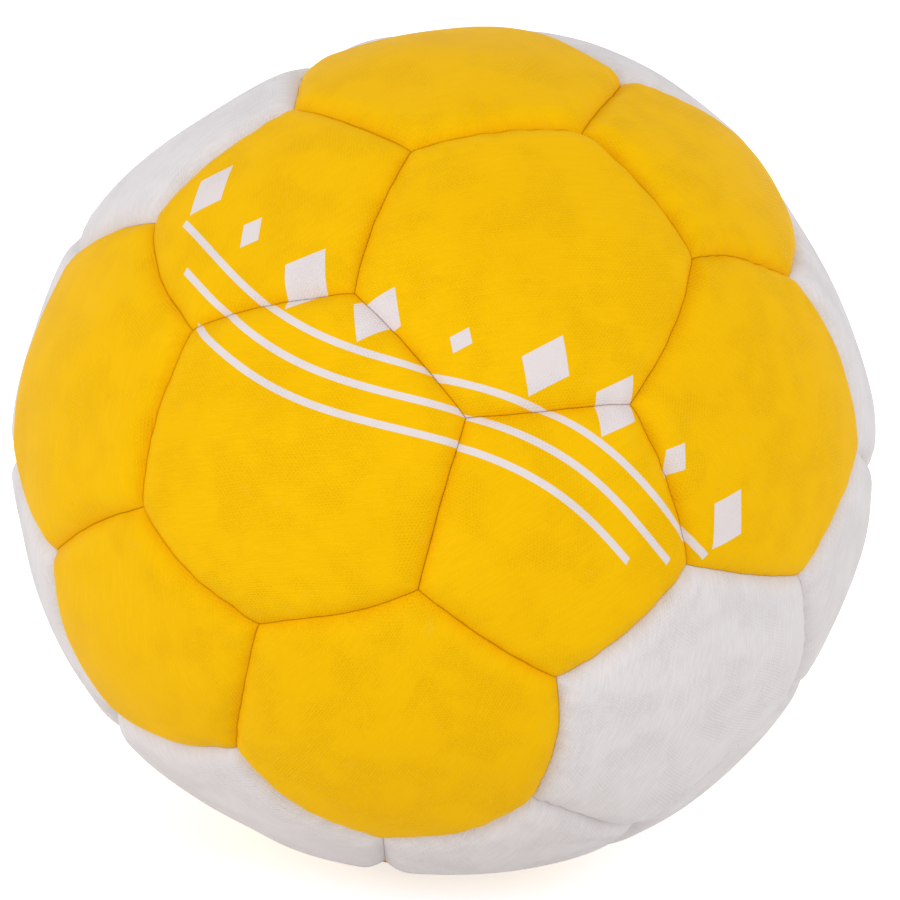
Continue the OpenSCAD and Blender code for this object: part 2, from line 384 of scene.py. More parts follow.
hexagons, pentagons = panel_places()


# Camera

def add_object(name, data):
    made = bpy.data.objects.new(name, data)
    bpy.context.scene.collection.objects.link(made)
    return made


def camera_axes():
    """The camera's right and up, and the way back to it from the ball."""
    azimuth, elevation = math.radians(camera_azimuth), math.radians(camera_elevation)
    level = math.cos(elevation)
    back = np.array([math.sin(azimuth) * level, -math.cos(azimuth) * level, math.sin(elevation)])
    right = np.array([math.cos(azimuth), math.sin(azimuth), 0])
    up = np.cross(back, right)
    c, s = math.cos(math.radians(camera_roll)), math.sin(math.radians(camera_roll))
    return c * right + s * up, c * up - s * right, back


right, up, back = camera_axes()
focal_px = groove_radius_px * math.sqrt((camera_distance / groove_r) ** 2 - 1)


def make_camera():
    data = bpy.data.cameras.new("camera")
    data.sensor_width = camera_sensor
    data.lens = focal_px * data.sensor_width / image_size
    data.shift_x = (image_size / 2 - ball_centre_px[0]) / image_size
    data.shift_y = (ball_centre_px[1] - image_size / 2) / image_size
    data.clip_start, data.clip_end = camera_clip
    camera = add_object("camera", data)
    turn = Matrix([right, up, back]).transposed()
    camera.matrix_world = Matrix.Translation(Vector(back) * camera_distance) @ turn.to_4x4()
    bpy.context.scene.camera = camera


make_camera()


# How the sewn ball departs from the ideal one

valve_axis = placed(pentagons[valve_pentagon])[:, 2]
foot = np.array([0, 0, -1])
outline_angles = np.radians(list(outline_off))
outline_points = np.column_stack([np.cos(outline_angles), np.sin(outline_angles)])
outline_heights = np.array(list(outline_off.values())) * MM


def near(a, b, reach):
    """One where two directions meet, and nothing where they lie well over the reach apart."""
    return np.exp(-(2 - 2 * a @ b.T) / reach ** 2)


def clear_of(centre, directions, reach):
    """Nothing at a centre, and one well over the reach away from it."""
    return 1 - np.exp(-((2 - 2 * directions @ centre) / reach ** 2) ** 2)


def out_of_round(directions, round_reach=valve_reach):
    """How far the whole ball stands off the sphere, in metres. It is round about the valve and its foot."""
    across = np.column_stack([directions @ right, directions @ up])
    shares = near(unit(across + nudge), outline_points, outline_reach)
    height = shares @ outline_heights / shares.sum(-1)
    band = np.exp(-(np.arcsin(np.clip(directions @ back, -1, 1)) / outline_band) ** 2)
    for centre, reach in ((valve_axis, round_reach), (foot, foot_reach)):
        height = height * clear_of(centre, directions, reach)
    return height * band


def seen_direction(pixel, rim_angles):
    """Unit vector from the ball's centre to the seam that shows at a pixel.

    In front this is the bottom of the groove. Near the rim it is the shoulder of the nearer panel,
    and the seam itself lies a little further round.
    """
    x = (pixel[0] - ball_centre_px[0]) / focal_px
    y = (ball_centre_px[1] - pixel[1]) / focal_px
    ray = unit(x * right + y * up - back)
    start = back * camera_distance
    reach = -(start @ ray)
    seen, rim = back, 0
    for _ in range(seen_steps):
        radius = groove_r + rim * seam_depth + out_of_round(seen[None])[0]
        depth = max(radius ** 2 - camera_distance ** 2 + reach ** 2, 0)
        seen = unit(start + ray * (reach - math.sqrt(depth)))
        share = np.interp(math.degrees(math.acos(seen @ back)), rim_angles, (0, 1))
        rim += (share - rim) / rim_easing
    further = math.radians(rim * rim_turn + sum(pixel[2:]))
    away = unit(seen * (seen @ back) - back)
    return math.cos(further) * seen + math.sin(further) * away


def seam_points():
    """Directions of all 60 corners, and of all 90 seam middles."""
    corners, middles = [], []
    for places, n in ((hexagons, 6), (pentagons, 5)):
        for place in places:
            azimuths = edge_azimuths(n)
            turn = placed(place).T
            corners.append(polar(corner_angle(n), azimuths + math.pi / n) @ turn)
            middles.append(polar(edge_angle(n), azimuths) @ turn)
    return [distinct(np.concatenate(points)) for points in (corners, middles)]


def distinct(directions):
    """The directions with those left out that are there already."""
    kept = []
    for direction in directions:
        if all(direction @ other < math.cos(same_place) for other in kept):
            kept.append(direction)
    return np.array(kept)


def pin(slips, points, pixels, rim_angles):
    """Sets the slips of the points that lie nearest to some pixels, so that they show there."""
    for pixel in pixels.values():
        seen = seen_direction(pixel, rim_angles)
        nearest = np.argmax(points @ seen)
        slips[nearest] = seen - points[nearest]


def sewn_slips():
    """Control points on the ideal ball, and how far each one slips over the sphere."""
    rng = np.random.default_rng(hidden_seed)
    corners, middles = seam_points()
    guard = math.cos(math.radians(valve_guard))
    slips = rng.uniform(-hidden_slip, hidden_slip, corners.shape) / ball_r
    slips[corners @ valve_axis > guard] = 0
    pin(slips, corners, seam_corners_px, corner_rim)
    ends = np.argsort(-(middles @ corners.T), axis=1)[:, :2]
    bows = rng.uniform(-hidden_bow, hidden_bow, middles.shape) / ball_r
    bows[middles @ valve_axis > guard] = 0
    middle_slips = slips[ends].mean(1) + bows
    pin(middle_slips, middles, seam_middles_px, middle_rim)
    points = np.concatenate([corners, middles, [valve_axis]])
    return points, np.concatenate([slips, middle_slips, np.zeros((1, 3))])


control_points, control_slips = sewn_slips()
control_weights = np.linalg.solve(near(control_points, control_points, seam_reach), control_slips)


def soft_noise(points, size, seed):
    """A soft random field of about plus or minus one, as a sum of sine waves."""
    rng = np.random.default_rng(seed)
    directions = unit(rng.normal(size=(wave_count, 3))) * rng.uniform(*wave_range, (wave_count, 1))
    phases = rng.uniform(0, 2 * math.pi, wave_count)
    waves = np.sin(points @ (directions * 2 * math.pi / size).T + phases)
    return waves.sum(-1) / math.sqrt(wave_count / 2)


def slipped(directions, seam_distance):
    """Directions on the sewn ball, from those on the ideal one."""
    slip = near(directions, control_points, seam_reach) @ control_weights
    slip *= clear_of(valve_axis, directions, hole_reach)[:, None]
    points = directions * ball_r
    wave = np.stack([soft_noise(points, waver_size, seed) for seed in waver_seeds], axis=-1)
    slip += wave * (waver / ball_r * np.exp(-seam_distance / pull_reach))[:, None]
    return unit(directions + slip)


def sewn(directions, radii, seam_distance, round_reach=valve_reach):
    """Places points of the ideal ball on the sewn one."""
    moved = slipped(directions, seam_distance)
    return moved * (radii + out_of_round(moved, round_reach))[:, None]


# Meshes

def spread(cells):
    """Shares from 0 to 1 that lie closer together towards 1."""
    x = np.linspace(0, 1, cells + 1)
    return x + crowding * x * (1 - x)


def round_quads(index):
    """Quads between the rows of a table of points, where each row is a closed loop."""
    turned = np.roll(index, -1, axis=1)
    return np.stack([index[:-1], index[1:], turned[1:], turned[:-1]], axis=-1).reshape(-1, 4)


def full_grid(n, side, cells):
    """Directions over a whole panel, its quads, its outer loop and no hole."""
    middles, corners = inset_points(n, side)
    s, t = spread(cells)[:, None, None], spread(cells)[None, :, None]
    index = np.empty((n, cells + 1, cells + 1), int)
    index[:, 1:] = 1 + np.arange(n * cells * (cells + 1)).reshape(n, cells, cells + 1)
    index[:, 0, 0] = 0
    index[:, 0, 1:] = np.roll(index[:, 1:, 0], -1, axis=0)
    directions = np.empty((index.max() + 1, 3))
    centre = np.array([0, 0, 1])
    for k in range(n):
        patch = (1 - s) * (1 - t) * centre + s * (1 - t) * middles[k]
        patch = patch + s * t * corners[k] + (1 - s) * t * middles[(k + 1) % n]
        directions[index[k]] = unit(patch)
    quads = np.stack([index[:, :-1, :-1], index[:, 1:, :-1], index[:, 1:, 1:], index[:, :-1, 1:]], axis=-1)
    loop = np.concatenate([np.r_[index[k, cells, :cells], index[k, cells:0:-1, cells]] for k in range(n)])
    return directions, quads.reshape(-1, 4), loop, None


def holed_grid(n, side, cells, hole_r):
    """The same for a panel with a round hole in its middle."""
    middles, corners = inset_points(n, side)
    following = np.roll(middles, -1, axis=0)
    steps = spread(cells)[:, None]
    sides = []
    for middle, corner, after in zip(middles, corners, following):
        sides.append((middle + steps * (corner - middle))[:-1])
        sides.append((corner + (1 - steps[::-1]) * (after - corner))[:-1])
    rim = unit(np.concatenate(sides))
    around = np.arctan2(rim[:, 1], rim[:, 0])
    inner = polar(math.asin(hole_r / ball_r), around)
    shares = spread(cells)[:, None, None]
    directions = unit(inner + shares * (rim - inner))
    rows, columns = directions.shape[:2]
    index = np.arange(rows * columns).reshape(rows, columns)
    return directions.reshape(-1, 3), round_quads(index), index[-1], index[0]


def grid(n, side, cells, hole_r):
    return holed_grid(n, side, cells, hole_r) if hole_r else full_grid(n, side, cells)


def rolled(angles, base_r, round_r):
    """Radius of a layer whose edges are rolled, from the angles to each seam plane."""
    reach = ball_r - edge_round
    turn = math.acos((reach ** 2 + groove_r ** 2 - edge_round ** 2) / (2 * reach * groove_r))
    away = np.maximum(turn - angles, 0)
    rounding = np.sqrt(np.maximum(round_r ** 2 - (reach * np.sin(away)) ** 2, 0))
    drops = base_r - reach * np.cos(away) - rounding
    return base_r - (np.maximum(drops, 0) ** 3).sum(-1) ** (1 / 3)


def relief(ideal, angles):
    """Crown of each panel, its soft lumps and the pull of the stitches."""
    points = ideal * ball_r
    closeness = np.exp(-np.maximum(angles, 0) * ball_r / soften).sum(-1)
    distance = np.maximum(-soften * np.log(closeness), 0)
    rise = np.clip(distance / crown_reach, 0, 1)
    lumps = lump * soft_noise(points, lump_size, lump_seed) * np.clip(distance / pull_reach, 0, 1)
    pulls = pull * soft_noise(points, pull_size, pull_seed) * np.exp(-distance / pull_reach)
    return crown * rise * (2 - rise) + lumps + pulls


def panel_seed(place):
    """A number for each panel, from where it lies, that seeds how its cloth is cut."""
    return int(place[0] * 7 + place[1] * 11) % 9973


def layer_sheet(n, place, side, cells, hole_r, base_r, round_r, shaped, lay=0):
    """One face of a panel's layer: ideal directions, radii and what the materials read."""
    local, quads, loop, hole = grid(n, side, cells, hole_r)
    angles = np.arcsin(np.clip(local @ seam_normals(n).T, -1, 1))
    distance = np.maximum(angles.min(-1), 0) * ball_r
    radii = rolled(angles, base_r, round_r) if round_r else np.full(len(local), base_r)
    ideal = local @ placed(place).T
    away = np.arccos(np.clip(local[:, 2], -1, 1)) * ball_r
    if shaped:
        radii = radii + relief(ideal, angles)
    if hole_r and shaped:
        radii = radii - valve_dip * np.exp(-((away - hole_r) / valve_dip_reach))
    rng = np.random.default_rng(panel_seed(place))
    outward = unit(local[:, :2] + nudge)
    upward = placed(place).T @ up
    lean = rng.uniform(-cloth_lean, cloth_lean) + lay * rng.integers(-lay_steps, lay_steps + 1)
    weave = outward @ turn_z(math.degrees(math.atan2(upward[1], upward[0])) - 90 + lean)[:2, :2]
    slip = rng.normal(size=3) * print_slip / ball_r
    facts = {
        "printed": unit(slipped(ideal, distance) + slip),
        "cloth": np.column_stack([weave * away[:, None], distance]),
        "outward": np.column_stack([outward, np.full(len(local), rng.uniform(0, cloth_numbers))]),
    }
    return {
        "ideal": ideal, "radii": radii, "distance": distance,
        "reach": np.full(len(local), cover_valve_reach if shaped else valve_reach),
        "quads": quads, "loop": loop, "hole": hole, "facts": facts,
    }


def bridge(low, high):
    """Quads between two closed loops of the same length."""
    return np.stack([low, np.roll(low, -1), np.roll(high, -1), high], axis=-1)


def layer_shell(n, place, top, floor, cells, hole_r=0, foot_r=None, lay=0):
    """A closed shell from two faces. Where foot_r is given, its rim is turned in and runs down to it."""
    faces = [layer_sheet(n, place, cells=cells, hole_r=hole_r, lay=lay, **face) for face in (top, floor)]
    ideal = [face["ideal"] for face in faces]
    radii = [face["radii"] for face in faces]
    distance = [face["distance"] for face in faces]
    reach = [face["reach"] for face in faces]
    facts = {key: [face["facts"][key] for face in faces] for key in faces[0]["facts"]}
    start = len(ideal[0])
    quads = [faces[0]["quads"], faces[1]["quads"][:, ::-1] + start]
    loops = [faces[0]["loop"]]
    count = start + len(ideal[1])
    if foot_r:
        for face, share in flange_loops:
            loop = faces[face]["loop"]
            ideal.append(ideal[face][loop])
            radii.append(radii[face][loop] * (1 - share) + foot_r * share)
            distance.append(0 * radii[-1])
            reach.append(reach[face][loop])
            for key in facts:
                facts[key].append(facts[key][face][loop])
            loops.append(count + np.arange(len(loop)))
            count += len(loop)
    loops.append(faces[1]["loop"] + start)
    quads += [bridge(high, low)[:, ::-1] for low, high in zip(loops[1:], loops[:-1])]
    if faces[0]["hole"] is not None:
        quads.append(bridge(faces[0]["hole"], faces[1]["hole"] + start))
    joined = {key: np.concatenate(values) for key, values in facts.items()}
    points = sewn(*[np.concatenate(values) for values in (ideal, radii, distance, reach)])
    return points, np.concatenate(quads), joined


def make_mesh(name, points, quads, facts=None):
    """A mesh object from points and faces of four corners, with vectors that the materials read."""
    mesh = bpy.data.meshes.new(name)
    mesh.vertices.add(len(points))
    mesh.vertices.foreach_set("co", points.astype(np.float32).ravel())
    mesh.loops.add(quads.size)
    mesh.loops.foreach_set("vertex_index", quads.astype(np.int32).ravel())
    mesh.polygons.add(len(quads))
    mesh.polygons.foreach_set("loop_start", np.arange(0, quads.size, 4, dtype=np.int32))
    mesh.polygons.foreach_set("loop_total", np.full(len(quads), 4, dtype=np.int32))
    for key, values in (facts or {}).items():
        made = mesh.attributes.new(key, "FLOAT_VECTOR", "POINT")
        made.data.foreach_set("vector", values.astype(np.float32).ravel())
    mesh.update(calc_edges=True)
    mesh.validate()
    mesh.shade_smooth()
    mesh.set_sharp_from_angle(angle=math.radians(sharp_angle))
    return add_object(name, mesh)


def finish_piece(piece, material, slot, *nodes):
    piece.data.materials.append(material)
    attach(piece, "root")
    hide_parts(*nodes)
    return piece


skin_top = {"side": seam_gap / 2, "base_r": ball_r, "round_r": edge_round, "shaped": True}
skin_floor = {
    "side": flange_side, "base_r": ball_r - skin_t, "round_r": edge_round - skin_t, "shaped": True,
}
foam_top_r = foam_r - foam_clearance
foam_top = {
    "side": pad_side, "base_r": foam_top_r, "round_r": edge_round - ball_r + foam_top_r, "shaped": True,
}
foam_floor = {"side": pad_side, "base_r": foam_floor_r, "round_r": 0, "shaped": False}
cloth_top = {"side": pad_side, "base_r": cloth_r, "round_r": 0, "shaped": False}
cloth_floor = {"side": pad_side, "base_r": lining_r, "round_r": 0, "shaped": False}


def make_panel(node, n, place, material, slot, hole_r=0):
    """One panel of the cover. The white ones are cut with their weave nearly upright."""
    lay = yellow_lay if slot == "yellow_cover" else 0
    points, quads, facts = layer_shell(n, place, skin_top, skin_floor, cover_cells, hole_r, lining_r, lay)
    return finish_piece(make_mesh(node + "_cover", points, quads, facts), material, slot, node)


def make_lining(node, n, places, top, floor, material, slot, hole_r=0):
    """The foam pads or the cloths of several panels as one piece of separate solids."""
    points, quads, count = [], [], 0
    for place in places:
        made = layer_shell(n, place, top, floor, lining_cells, hole_r)
        points.append(made[0])
        quads.append(made[1] + count)
        count += len(made[0])
    piece = make_mesh(node + "_layer", np.concatenate(points), np.concatenate(quads))
    return finish_piece(piece, material, slot, node)


def seam_path(first_side):
    """One thread's way along a seam and across it. At every stitch it changes sides."""
    half = seam_angle * stitch_r / 2 - stitch_end
    step = 2 * half / stitches
    holes = [-half + step * (s + 0.5) for s in range(stitches)]
    path = [(-half, first_side * thread_side)]
    side = first_side
    for hole in holes:
        path += [(hole - thread_r, side * thread_side), (hole, side * thread_side * crossing_share)]
        side = -side
        path += [(hole, side * thread_side * crossing_share), (hole + thread_r, side * thread_side)]
        path += [(hole + step / 2, side * (thread_side + stitch_slack))]
    return np.array(path)


def thread_tube(path, lift):
    """A tube round a path that lies flat across the flanges, as rings of points."""
    ahead = unit(np.gradient(path, axis=0))
    sideways = np.stack([-ahead[:, 1], ahead[:, 0]], axis=-1)
    turns = np.arange(thread_sides) * 2 * math.pi / thread_sides
    ring = path[:, None, :] + thread_r * np.cos(turns)[None, :, None] * sideways[:, None, :]
    height = np.broadcast_to(lift + thread_r * np.sin(turns), ring.shape[:2])
    return np.concatenate([ring, height[..., None]], axis=-1)


def make_thread(material):
    """Two threads cross through the flanges of every seam, as a saddle stitch."""
    corners, middles = seam_points()
    end_quads = np.array([(0, k, k + 1, k + 2) for k in range(1, thread_sides - 1, 2)])
    points, quads, count = [], [], 0
    for middle in middles:
        ends = corners[np.argsort(-(corners @ middle))[:2]]
        ahead = unit(ends[1] - ends[0])
        across = np.cross(middle, ahead)
        for side in (-1, 1):
            tube = thread_tube(seam_path(side), side * thread_r)
            along, sideways, lift = tube[..., :1], tube[..., 1:2], tube[..., 2:]
            turn = along / stitch_r
            place = (stitch_r + lift) * (np.cos(turn) * middle + np.sin(turn) * ahead) + sideways * across
            place = place.reshape(-1, 3)
            radii = np.linalg.norm(place, axis=-1)
            points.append(sewn(place / radii[:, None], radii, 0 * radii))
            index = count + np.arange(len(place)).reshape(-1, thread_sides)
            quads += [round_quads(index), index[0][end_quads], index[-1][end_quads][:, ::-1]]
            count += len(place)
    return finish_piece(
        make_mesh("seam_thread_stitches", np.concatenate(points), np.concatenate(quads)),
        material, "thread", "seam_thread",
    )


def make_bladder(material):
    """Rubber bladder with the hole for the valve's neck."""
    rows, columns = bladder_rows, bladder_columns
    start = math.asin(neck_hole_r / bladder_r)
    angles = np.linspace(start, math.pi - bladder_end, rows)[:, None]
    around = (np.arange(columns) * 2 * math.pi / columns)[None, :]
    local = polar(angles + 0 * around, around + 0 * angles).reshape(-1, 3)
    ideal = local @ placed(pentagons[valve_pentagon]).T
    index = np.arange(rows * columns).reshape(rows, columns)
    end = index[-1]
    cap = np.array([[end[-k - 1], end[k], end[k + 1], end[-k - 2]] for k in range(columns // 2 - 1)])
    quads = np.concatenate([round_quads(index), cap[:, ::-1]])
    far = np.ones(len(ideal))
    outer = sewn(ideal, np.full(len(ideal), bladder_r), far)
    inner = sewn(ideal, np.full(len(ideal), bladder_r - bladder_t), far)
    count = len(outer)
    faces = np.concatenate([quads, quads[:, ::-1] + count, bridge(index[0], index[0] + count)])
    piece = make_mesh("bladder_wall", np.concatenate([outer, inner]), faces)
    return finish_piece(piece, material, "bladder_rubber", "bladder")


# Materials

class Nodes:
    """A new material, with short calls that add its shader nodes."""

    def __init__(self, name):
        self.material = bpy.data.materials.new(name)
        self.material.use_nodes = True
        self.tree = self.material.node_tree
        self.shader = self.tree.nodes["Principled BSDF"]

    def set(self, socket, value):
        if isinstance(value, bpy.types.NodeSocket):
            self.tree.links.new(value, socket)
        else:
            socket.default_value = value

    def add(self, kind, inputs=(), **options):
        made = self.tree.nodes.new("ShaderNode" + kind)
        for name, value in options.items():
            setattr(made, name, value)
        for name, value in dict(inputs).items():
            self.set(made.inputs[name], value)
        return made

    def math(self, operation, *values):
        return self.add("Math", enumerate(values), operation=operation).outputs[0]

    def vector(self, operation, *values):
        made = self.add("VectorMath", operation=operation)
        for socket, value in zip(made.inputs, values):
            self.set(socket, value)
        return made.outputs[1 if operation == "DOT_PRODUCT" else 0]

    def scaled(self, vector, scale):
        made = self.add("VectorMath", {"Scale": scale}, operation="SCALE")
        self.set(made.inputs[0], vector)
        return made.outputs[0]

    def fact(self, name):
        return self.add("Attribute", attribute_name=name, attribute_type="GEOMETRY").outputs["Vector"]

    def split(self, vector):
        return self.add("SeparateXYZ", {0: vector}).outputs

    def joined(self, x, y, z=0.0):
        return self.add("CombineXYZ", {0: x, 1: y, 2: z}).outputs[0]

    def noise(self, vector, scale, detail=3.0, roughness=0.55):
        inputs = {"Vector": vector, "Scale": scale, "Detail": detail, "Roughness": roughness}
        return self.add("TexNoise", inputs).outputs["Fac"]

    def fade(self, value, low, high, start=0.0, end=1.0):
        """A smooth step from start, where value is low, to end, where it is high."""
        inputs = {"Value": value, "From Min": low, "From Max": high, "To Min": start, "To Max": end}
        return self.add("MapRange", inputs, interpolation_type="SMOOTHSTEP").outputs[0]

    def mix(self, share, a, b):
        made = self.add("Mix", data_type="RGBA")
        for socket, value in zip((made.inputs[0], made.inputs[6], made.inputs[7]), (share, a, b)):
            self.set(socket, value)
        return made.outputs[2]

    def bump(self, height, distance, normal=None):
        inputs = {"Height": height, "Distance": distance, "Strength": 1.0}
        if normal is not None:
            inputs["Normal"] = normal
        return self.add("Bump", inputs).outputs[0]


def colour(red, green, blue):
    """Linear colour from the values of a picture, 0 to 255."""
    return tuple(((c / 255 + 0.055) / 1.055) ** 2.4 for c in (red, green, blue)) + (1.0,)


def print_mask(nodes, ideal):
    """Waving lines and lozenges, printed over the whole ball without regard to the seams."""
    axis, start, side = [tuple(direction) for direction in print_axes()]
    latitude = nodes.math("ARCSINE", nodes.vector("DOT_PRODUCT", ideal, axis))
    latitude = nodes.math("MULTIPLY", latitude, ball_r / MM)
    turn = nodes.math(
        "ARCTAN2", nodes.vector("DOT_PRODUCT", ideal, side), nodes.vector("DOT_PRODUCT", ideal, start)
    )
    run = nodes.math("MULTIPLY", turn, ball_r / MM)
    wave = nodes.math("SINE", nodes.math("MULTIPLY", turn, print_waves))
    level = nodes.math("SUBTRACT", latitude, nodes.math("MULTIPLY", wave, print_swing))
    return nodes.math("MAXIMUM", printed_lines(nodes, level, run), printed_lozenges(nodes, level, run))


def printed_lines(nodes, level, run):
    """Three lines of one width, each shorter than the one above."""
    row = nodes.math("ROUND", nodes.math("DIVIDE", level, line_step))
    row = nodes.math("MINIMUM", nodes.math("MAXIMUM", row, -outer_row), outer_row)
    off = nodes.math("ABSOLUTE", nodes.math("SUBTRACT", level, nodes.math("MULTIPLY", row, line_step)))
    end = nodes.math("ADD", nodes.math("MULTIPLY", row, line_stagger), line_half)
    past = nodes.math("SUBTRACT", nodes.math("ABSOLUTE", run), end)
    outside = nodes.math("MAXIMUM", nodes.math("SUBTRACT", off, line_width / 2), past)
    return nodes.fade(outside, -print_blur, print_blur, 1.0, 0.0)


def printed_lozenges(nodes, level, run):
    """A row of solid lozenges of several sizes above the lines."""
    cell = nodes.math("ROUND", nodes.math("DIVIDE", run, lozenge_step))
    across = nodes.math("ABSOLUTE", nodes.math("SUBTRACT", run, nodes.math("MULTIPLY", cell, lozenge_step)))
    growth = nodes.math("MULTIPLY", nodes.math("ABSOLUTE", nodes.math("SINE", cell)), lozenge_growth)
    size = nodes.math("ADD", growth, lozenge_least)
    tall = nodes.math("ABSOLUTE", nodes.math("SUBTRACT", level, lozenge_level))
    tall = nodes.math("MULTIPLY", tall, lozenge_shape)
    outside = nodes.math("SUBTRACT", nodes.math("ADD", across, tall), size)
    past = nodes.math("SUBTRACT", nodes.math("ABSOLUTE", run), lozenge_half)
    outside = nodes.math("MAXIMUM", outside, past)
    return nodes.fade(outside, -print_blur, print_blur, 1.0, 0.0)


def print_axes():
    """Frame of the print: its lines run round the first axis, and start faces the camera."""
    lean = math.radians(print_lean)
    start = unit(back + print_rise * up - print_left * right)
    side = unit(right - (right @ start) * start)
    axis = math.cos(lean) * np.cross(start, side) + math.sin(lean) * side
    return axis, start, np.cross(axis, start)


def woven(nodes, across, along):
    """Waves of the canvas: the warp, and a weft that leans over it."""
    warp = nodes.math("SINE", nodes.math("MULTIPLY", across, 2 * math.pi / warp_step))
    rows = nodes.math("DIVIDE", along, weft_step)
    lean = nodes.math("ADD", rows, nodes.math("DIVIDE", across, 2 * warp_step))
    weft = nodes.math("SINE", nodes.math("MULTIPLY", lean, 2 * math.pi))
    return nodes.math("ADD", warp, weft)


def gathers(nodes, out_x, out_y, number, distance):
    """Ribs that run in from the stitches."""
    inward = nodes.math("ADD", nodes.math("MULTIPLY", distance, ribs_inward), number)
    around = [nodes.math("MULTIPLY", value, ribs_around) for value in (out_x, out_y)]
    return nodes.noise(nodes.joined(*around, inward), *thread_noise)


def cover_material(name, base, deep, seam_shade, seam_shade_share, gloss, gloss_tint, threads, printed=None):
    """Coated cloth: a fine canvas grain, raised threads, gathers and soft marks, with painted shade in the
    canvas's pits, between the gathers and on the shoulders by the seam, and a dark seam line painted as the
    groove's shade.
    """
    nodes = Nodes(name)
    x, y, distance = [nodes.math("DIVIDE", value, MM) for value in nodes.split(nodes.fact("cloth"))]
    out_x, out_y, number = nodes.split(nodes.fact("outward"))
    plane = nodes.joined(x, y, nodes.math("MULTIPLY", number, cloth_spacing))

    stir = nodes.math("MULTIPLY", nodes.noise(plane, *stir_noise), stir_width)
    across, along = nodes.math("ADD", x, stir), nodes.math("ADD", y, stir)
    patch = nodes.fade(nodes.noise(plane, *patch_noise), *patch_fade)
    canvas = nodes.math("MULTIPLY", woven(nodes, across, along), patch)
    grain = nodes.noise(plane, *grain_noise)
    streak_x = nodes.math("MULTIPLY", across, streaks_across)
    streak_y = nodes.math("MULTIPLY", along, streaks_along)
    streaks = nodes.noise(nodes.joined(streak_x, streak_y, number), *thread_noise)
    ribs = gathers(nodes, out_x, out_y, number, distance)
    gathered = nodes.fade(distance, *gather_fade)

    # Painted shade in the valleys between the gathers, near the seam
    painted_rib_shade = nodes.math("MULTIPLY", nodes.fade(ribs, *rib_shade_range, threads, 0.0), gathered)
    shade = nodes.mix(nodes.fade(nodes.noise(plane, *cloud_noise), *cloud_fade), base, deep)
    shade = nodes.mix(nodes.fade(streaks, *streak_range, threads, 0.0), shade, deep)
    shade = nodes.mix(painted_rib_shade, shade, deep)
    # Painted shade in the pits of the canvas weave
    shade = nodes.mix(nodes.fade(canvas, *canvas_pit_shade), shade, deep)
    # Painted shade on the rolled shoulders, darker towards the seam
    shade = nodes.mix(nodes.fade(distance, *shoulder_shade_fade), shade, deep)
    if printed:
        mask = print_mask(nodes, nodes.fact("printed"))
        shade = nodes.mix(nodes.math("MULTIPLY", mask, nodes.fade(grain, *ink_fade)), shade, printed)
    flecks = nodes.fade(nodes.noise(plane, *fleck_noise), *fleck_fade)
    shade = nodes.mix(flecks, shade, colour(*fleck_rgb))
    worn = nodes.fade(nodes.noise(plane, *wear_noise), *wear_fade)
    shade = nodes.mix(worn, shade, colour(*wear_rgb))
    # Painted shade: a dark line right at the seam, where the groove is shaded
    shade = nodes.mix(nodes.fade(distance, *seam_shade_range, seam_shade_share, 0.0), shade, seam_shade)

    nodes.set(nodes.shader.inputs["Base Color"], shade)
    nodes.set(nodes.shader.inputs["Roughness"], nodes.fade(grain, *rough_fade))
    nodes.set(nodes.shader.inputs["Specular IOR Level"], gloss)
    nodes.set(nodes.shader.inputs["Specular Tint"], gloss_tint)
    normal = nodes.bump(canvas, canvas_bump)
    normal = nodes.bump(grain, grain_bump, normal)
    normal = nodes.bump(streaks, streak_bump * threads, normal)
    normal = nodes.bump(nodes.math("MULTIPLY", ribs, gathered), rib_bump, normal)
    nodes.set(nodes.shader.inputs["Normal"], normal)
    return nodes.material


def plain_material(name, base, deep, roughness, size, bump, weave=0.0):
    """Rubber, foam or yarn: mottled colour, a fine surface and, where weave is set, crossing threads."""
    nodes = Nodes(name)
    place = nodes.scaled(nodes.add("TexCoord").outputs["Object"], 1 / MM)
    fine = nodes.noise(place, 1 / size, *fine_detail)
    broad = nodes.noise(place, *broad_noise)
    shade = nodes.mix(nodes.fade(broad, *broad_range), base, deep)
    shade = nodes.mix(nodes.fade(fine, *fine_fade), shade, deep)
    rough = nodes.fade(fine, *fine_range, roughness - rough_spread, roughness + rough_spread)
    nodes.set(nodes.shader.inputs["Base Color"], shade)
    nodes.set(nodes.shader.inputs["Roughness"], rough)
    height = fine
    if weave:
        turns = [nodes.math("MULTIPLY", value, 2 * math.pi / weave) for value in nodes.split(place)]
        waves = [nodes.math("SINE", turn) for turn in turns]
        crossing = nodes.math("MULTIPLY", waves[0], nodes.math("MULTIPLY", waves[1], waves[2]))
        height = nodes.math("ADD", fine, crossing)
    nodes.set(nodes.shader.inputs["Normal"], nodes.bump(height, bump))
    return nodes.material


yellow_cover = cover_material(
    "yellow_cover", colour(251, 196, 8), colour(243, 182, 4),
    seam_shade=colour(140, 88, 10), seam_shade_share=0.3,
    gloss=0.05, gloss_tint=(1.0, 0.8, 0.15, 1.0), threads=0.25, printed=colour(232, 222, 222),
)
white_cover = cover_material(
    "white_cover", colour(236, 231, 232), colour(223, 217, 218),
    seam_shade=colour(190, 172, 152), seam_shade_share=0.2,
    gloss=0.1, gloss_tint=(1.0, 1.0, 1.0, 1.0), threads=0.5,
)
foam_white = plain_material(
    "foam_white", colour(240, 236, 216), colour(226, 220, 196), roughness=0.85, size=0.9, bump=0.3 * MM
)
cloth_grey = plain_material(
    "cloth_grey", colour(206, 202, 188), colour(184, 180, 166), roughness=0.9, size=0.5, bump=0.1 * MM,
    weave=0.8,
)
thread_brown = plain_material(
    "thread_brown", colour(96, 66, 40), colour(70, 46, 28), roughness=0.7, size=0.2, bump=0.05 * MM,
    weave=0.35,
)
